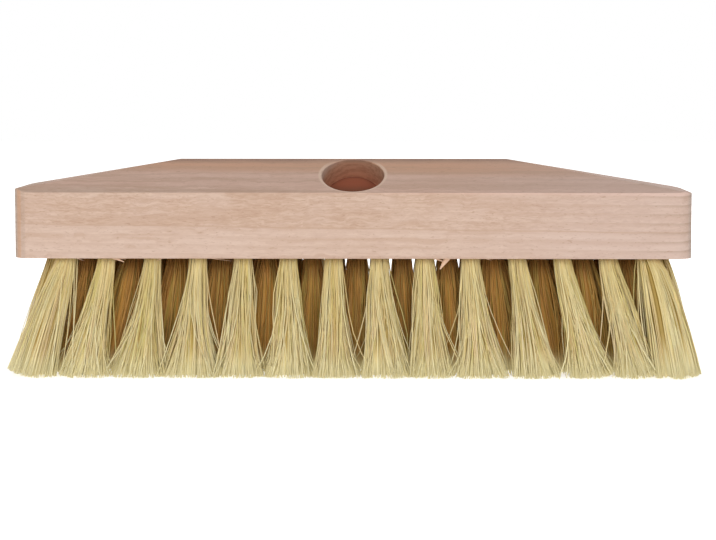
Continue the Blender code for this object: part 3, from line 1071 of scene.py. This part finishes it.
def core_grid(rng, root, tip, half, size, powers):
    """A tuft's packed middle, ribbed lengthwise by its outermost fibres, as ring, corner and XYZ."""
    sides = 2 * CORE_RIBS
    outline = polar(np.arange(sides) * 2 * math.pi / sides, 1.0)
    ribs = np.tile([RIB_SHARE, -RIB_SHARE], CORE_RIBS)
    bumps = rng.normal(0, CORE_ROUGHNESS, CORE_RIBS).repeat(2) + ribs
    share = CORE_SHARE * (1 + bumps)[:, None]
    bundle = outline * size * share
    fan = outline * half * share
    ragged = CORE_END_Z * rng.uniform(*CORE_END_SHARES, CORE_RIBS).repeat(2)
    z = ring_heights(root, tip, bundle, fan, ragged, CORE_RINGS)
    plan = fanned(root, tip, bundle, fan, way_out(z), powers)
    return np.concatenate([plan, z[..., None]], 2).transpose(1, 0, 2)


def core_skin(rng, *shape):
    """A tuft's packed middle in the form that fibre_skin gives, closed at both ends."""
    grid = core_grid(rng, *shape)
    rings, sides = grid.shape[:2]
    middles = [grid[0].mean(0), grid[-1].mean(0) + (0, 0, CORE_END_Z)]
    index = np.arange(rings * sides).reshape(rings, sides)
    beside = np.roll(index, -1, axis=1)
    top, bottom = index.size, index.size + len(middles) - 1
    ends = [(a, b, top) for a, b in zip(beside[0].tolist(), index[0].tolist())]
    ends += [(a, b, bottom) for a, b in zip(index[-1].tolist(), beside[-1].tolist())]
    lock = (np.arange(CORE_RIBS) * CORE_LOCKS) // CORE_RIBS
    tone, hue = lock_shades(rng, CORE_TONE, CORE_LOCKS, lock)
    shades = (
        np.append(np.tile(tone.repeat(2), rings), (0, 0)),
        np.append(np.tile(hue.repeat(2), rings), (0, 0)),
        np.append(np.linspace(0, 1, rings).repeat(sides), (0, 1)),
        np.ones(index.size + len(middles)),
    )
    return np.concatenate([grid.reshape(-1, 3), middles]), wall_faces(index), ends, shades


def store(mesh, name, values):
    """Keeps a value at each vertex of the mesh, for its material."""
    attribute = mesh.attributes.new(name, "FLOAT", "POINT")
    attribute.data.foreach_set("value", values.astype(np.float32))


def tuft_mesh(name, skins, inner_shade):
    """One mesh of all the skins, smooth but for their ends, with each vertex's shades kept on it."""
    verts, faces, flat = [], [], []
    total = 0
    for points, sides, ends, _ in skins:
        for face in sides + ends:
            faces.append([corner + total for corner in face])
        flat += [False] * len(sides) + [True] * len(ends)
        verts.append(points)
        total += len(points)
    mesh = bpy.data.meshes.new(name)
    mesh.from_pydata(np.concatenate(verts), [], faces)
    mesh.polygons.foreach_set("use_smooth", np.logical_not(flat))
    bm = bmesh.new()
    bm.from_mesh(mesh)
    bmesh.ops.recalc_face_normals(bm, faces=bm.faces[:])
    bm.to_mesh(mesh)
    bm.free()
    shades = zip(*(skin[-1] for skin in skins))
    tone, hue, reach, packed = (np.concatenate(values) for values in shades)
    store(mesh, "tone", np.clip(tone, 0, 1))
    store(mesh, "hue", hue)
    store(mesh, "reach", reach)
    store(mesh, "packed", packed)
    store(mesh, "inner_shade", np.full(total, float(inner_shade)))
    return mesh


def add_tuft(material, node, rng):
    """A tuft in place of its CAD node. A front tuft's tips lie where the photograph shows them."""
    root, tip, half = tuft_shape(node)
    row, number = (int(part) for part in node.removeprefix("tuft_row").split("_"))
    count = FIBRES_IN_INNER_TUFT if row in INNER_ROWS else FIBRES_IN_OUTER_TUFT
    # Whether the tuft takes the inner rows' painted shade
    inner_shade = row in INNER_ROWS and abs(root[0]) < PALE_TUFT_REACH
    size, powers = bundle_shape(row, root, tip)
    if row == FRONT_ROW:
        tip[0], width = FRONT_TIPS[number - 1]
        half[0] = width / 2
    shape = (root, tip, half, size, powers)
    fibres = fibre_skin(rng, *fibre_lines(rng, *shape, count))
    mesh = tuft_mesh(node, [fibres, core_skin(rng, *shape)], inner_shade)
    add_piece(node.replace("tuft", "fibres"), mesh, material, "fibre", node)


# Stage, light and camera


def toward(azimuth, elevation):
    """The unit vector from the brush towards this direction; azimuth 0 is the front."""
    return Vector(
        (
            math.sin(azimuth) * math.cos(elevation),
            -math.cos(azimuth) * math.cos(elevation),
            math.sin(elevation),
        )
    )


def aim(item, azimuth, elevation, distance):
    """Stands a lamp or the camera in this direction from the target, and turns it to the target."""
    away = toward(azimuth, elevation)
    item.location = Vector(TARGET) + away * distance
    item.rotation_euler = (-away).to_track_quat("-Z", "Y").to_euler()


def seen_directly(tree):
    """1 for what the camera, a reflection or a glass sees, and 0 for the light that falls on things."""
    path = tree.nodes.new("ShaderNodeLightPath")
    total = path.outputs["Is Camera Ray"]
    for name in ("Is Glossy Ray", "Is Transmission Ray"):
        add = tree.nodes.new("ShaderNodeMath")
        add.operation = "MAXIMUM"
        tree.links.new(total, add.inputs[0])
        tree.links.new(path.outputs[name], add.inputs[1])
        total = add.outputs[0]
    return total


def set_sky():
    world = bpy.data.worlds.new("studio")
    bpy.context.scene.world = world
    world.use_nodes = True
    tree = world.node_tree
    background = tree.nodes["Background"]
    background.inputs["Color"].default_value = WHITE
    direction = tree.nodes.new("ShaderNodeSeparateXYZ")
    tree.links.new(tree.nodes.new("ShaderNodeTexCoord").outputs["Generated"], direction.inputs[0])
    light = tree.nodes.new("ShaderNodeMapRange")
    tree.links.new(direction.outputs["Z"], light.inputs["Value"])
    light.inputs["To Min"].default_value = SKY_SIDE
    light.inputs["To Max"].default_value = SKY_TOP
    level = tree.nodes.new("ShaderNodeMapRange")
    tree.links.new(seen_directly(tree), level.inputs["Value"])
    tree.links.new(light.outputs[0], level.inputs["To Min"])
    level.inputs["To Max"].default_value = 1.0
    tree.links.new(level.outputs[0], background.inputs["Strength"])


def add_floor():
    bm = bmesh.new()
    bmesh.ops.create_grid(bm, x_segments=1, y_segments=1, size=FLOOR_SIZE / 2)
    floor = new_object("floor", to_mesh(bm, "floor"))
    g = Graph("white_floor")
    g.shader.inputs["Base Color"].default_value = FLOOR_COLOR
    g.shader.inputs["Roughness"].default_value = FLOOR_ROUGHNESS
    g.shader.inputs["Specular IOR Level"].default_value = 0.0
    g.shader.inputs["Emission Color"].default_value = WHITE
    coords = g.add("ShaderNodeTexCoord").outputs["Object"]
    away = g.add("ShaderNodeVectorMath", operation="LENGTH")
    g.join(coords, away.inputs[0])
    glow = g.remap(away.outputs["Value"], *FLOOR_FADE, FLOOR_GLOW, 1.0)
    seen = g.math("MULTIPLY", seen_directly(g.tree), glow)
    g.join(g.math("MAXIMUM", seen, FLOOR_BOUNCE), g.shader.inputs["Emission Strength"])
    floor.data.materials.append(g.material)


def add_lamp(name, azimuth, elevation, width, power):
    light = bpy.data.lights.new(name, "AREA")
    light.shape = "DISK"
    light.size = width
    light.energy = power
    lamp = new_object(name, light)
    lamp.visible_camera = False
    aim(lamp, math.radians(azimuth), math.radians(elevation), LAMP_DISTANCE)


def add_camera():
    data = bpy.data.cameras.new("camera")
    data.lens = CAMERA_LENS
    data.clip_start, data.clip_end = CAMERA_CLIP
    camera = new_object("camera", data)
    aim(camera, CAMERA_AZIMUTH, CAMERA_ELEVATION, CAMERA_DISTANCE)
    bpy.context.scene.camera = camera


def set_stage():
    set_sky()
    add_floor()
    for lamp in LAMPS:
        add_lamp(*lamp)
    add_camera()
    bpy.context.scene.view_settings.view_transform = "Standard"


def dress_brush():
    beech = make_beech()
    fibre = make_fibre()
    tufts = sorted(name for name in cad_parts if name.startswith("tuft"))
    add_block(beech, [tuft_shape(node)[0] for node in tufts])
    rng = np.random.default_rng(FIBRE_SEED)
    for node in tufts:
        add_tuft(fibre, node, rng)


set_stage()
dress_brush()
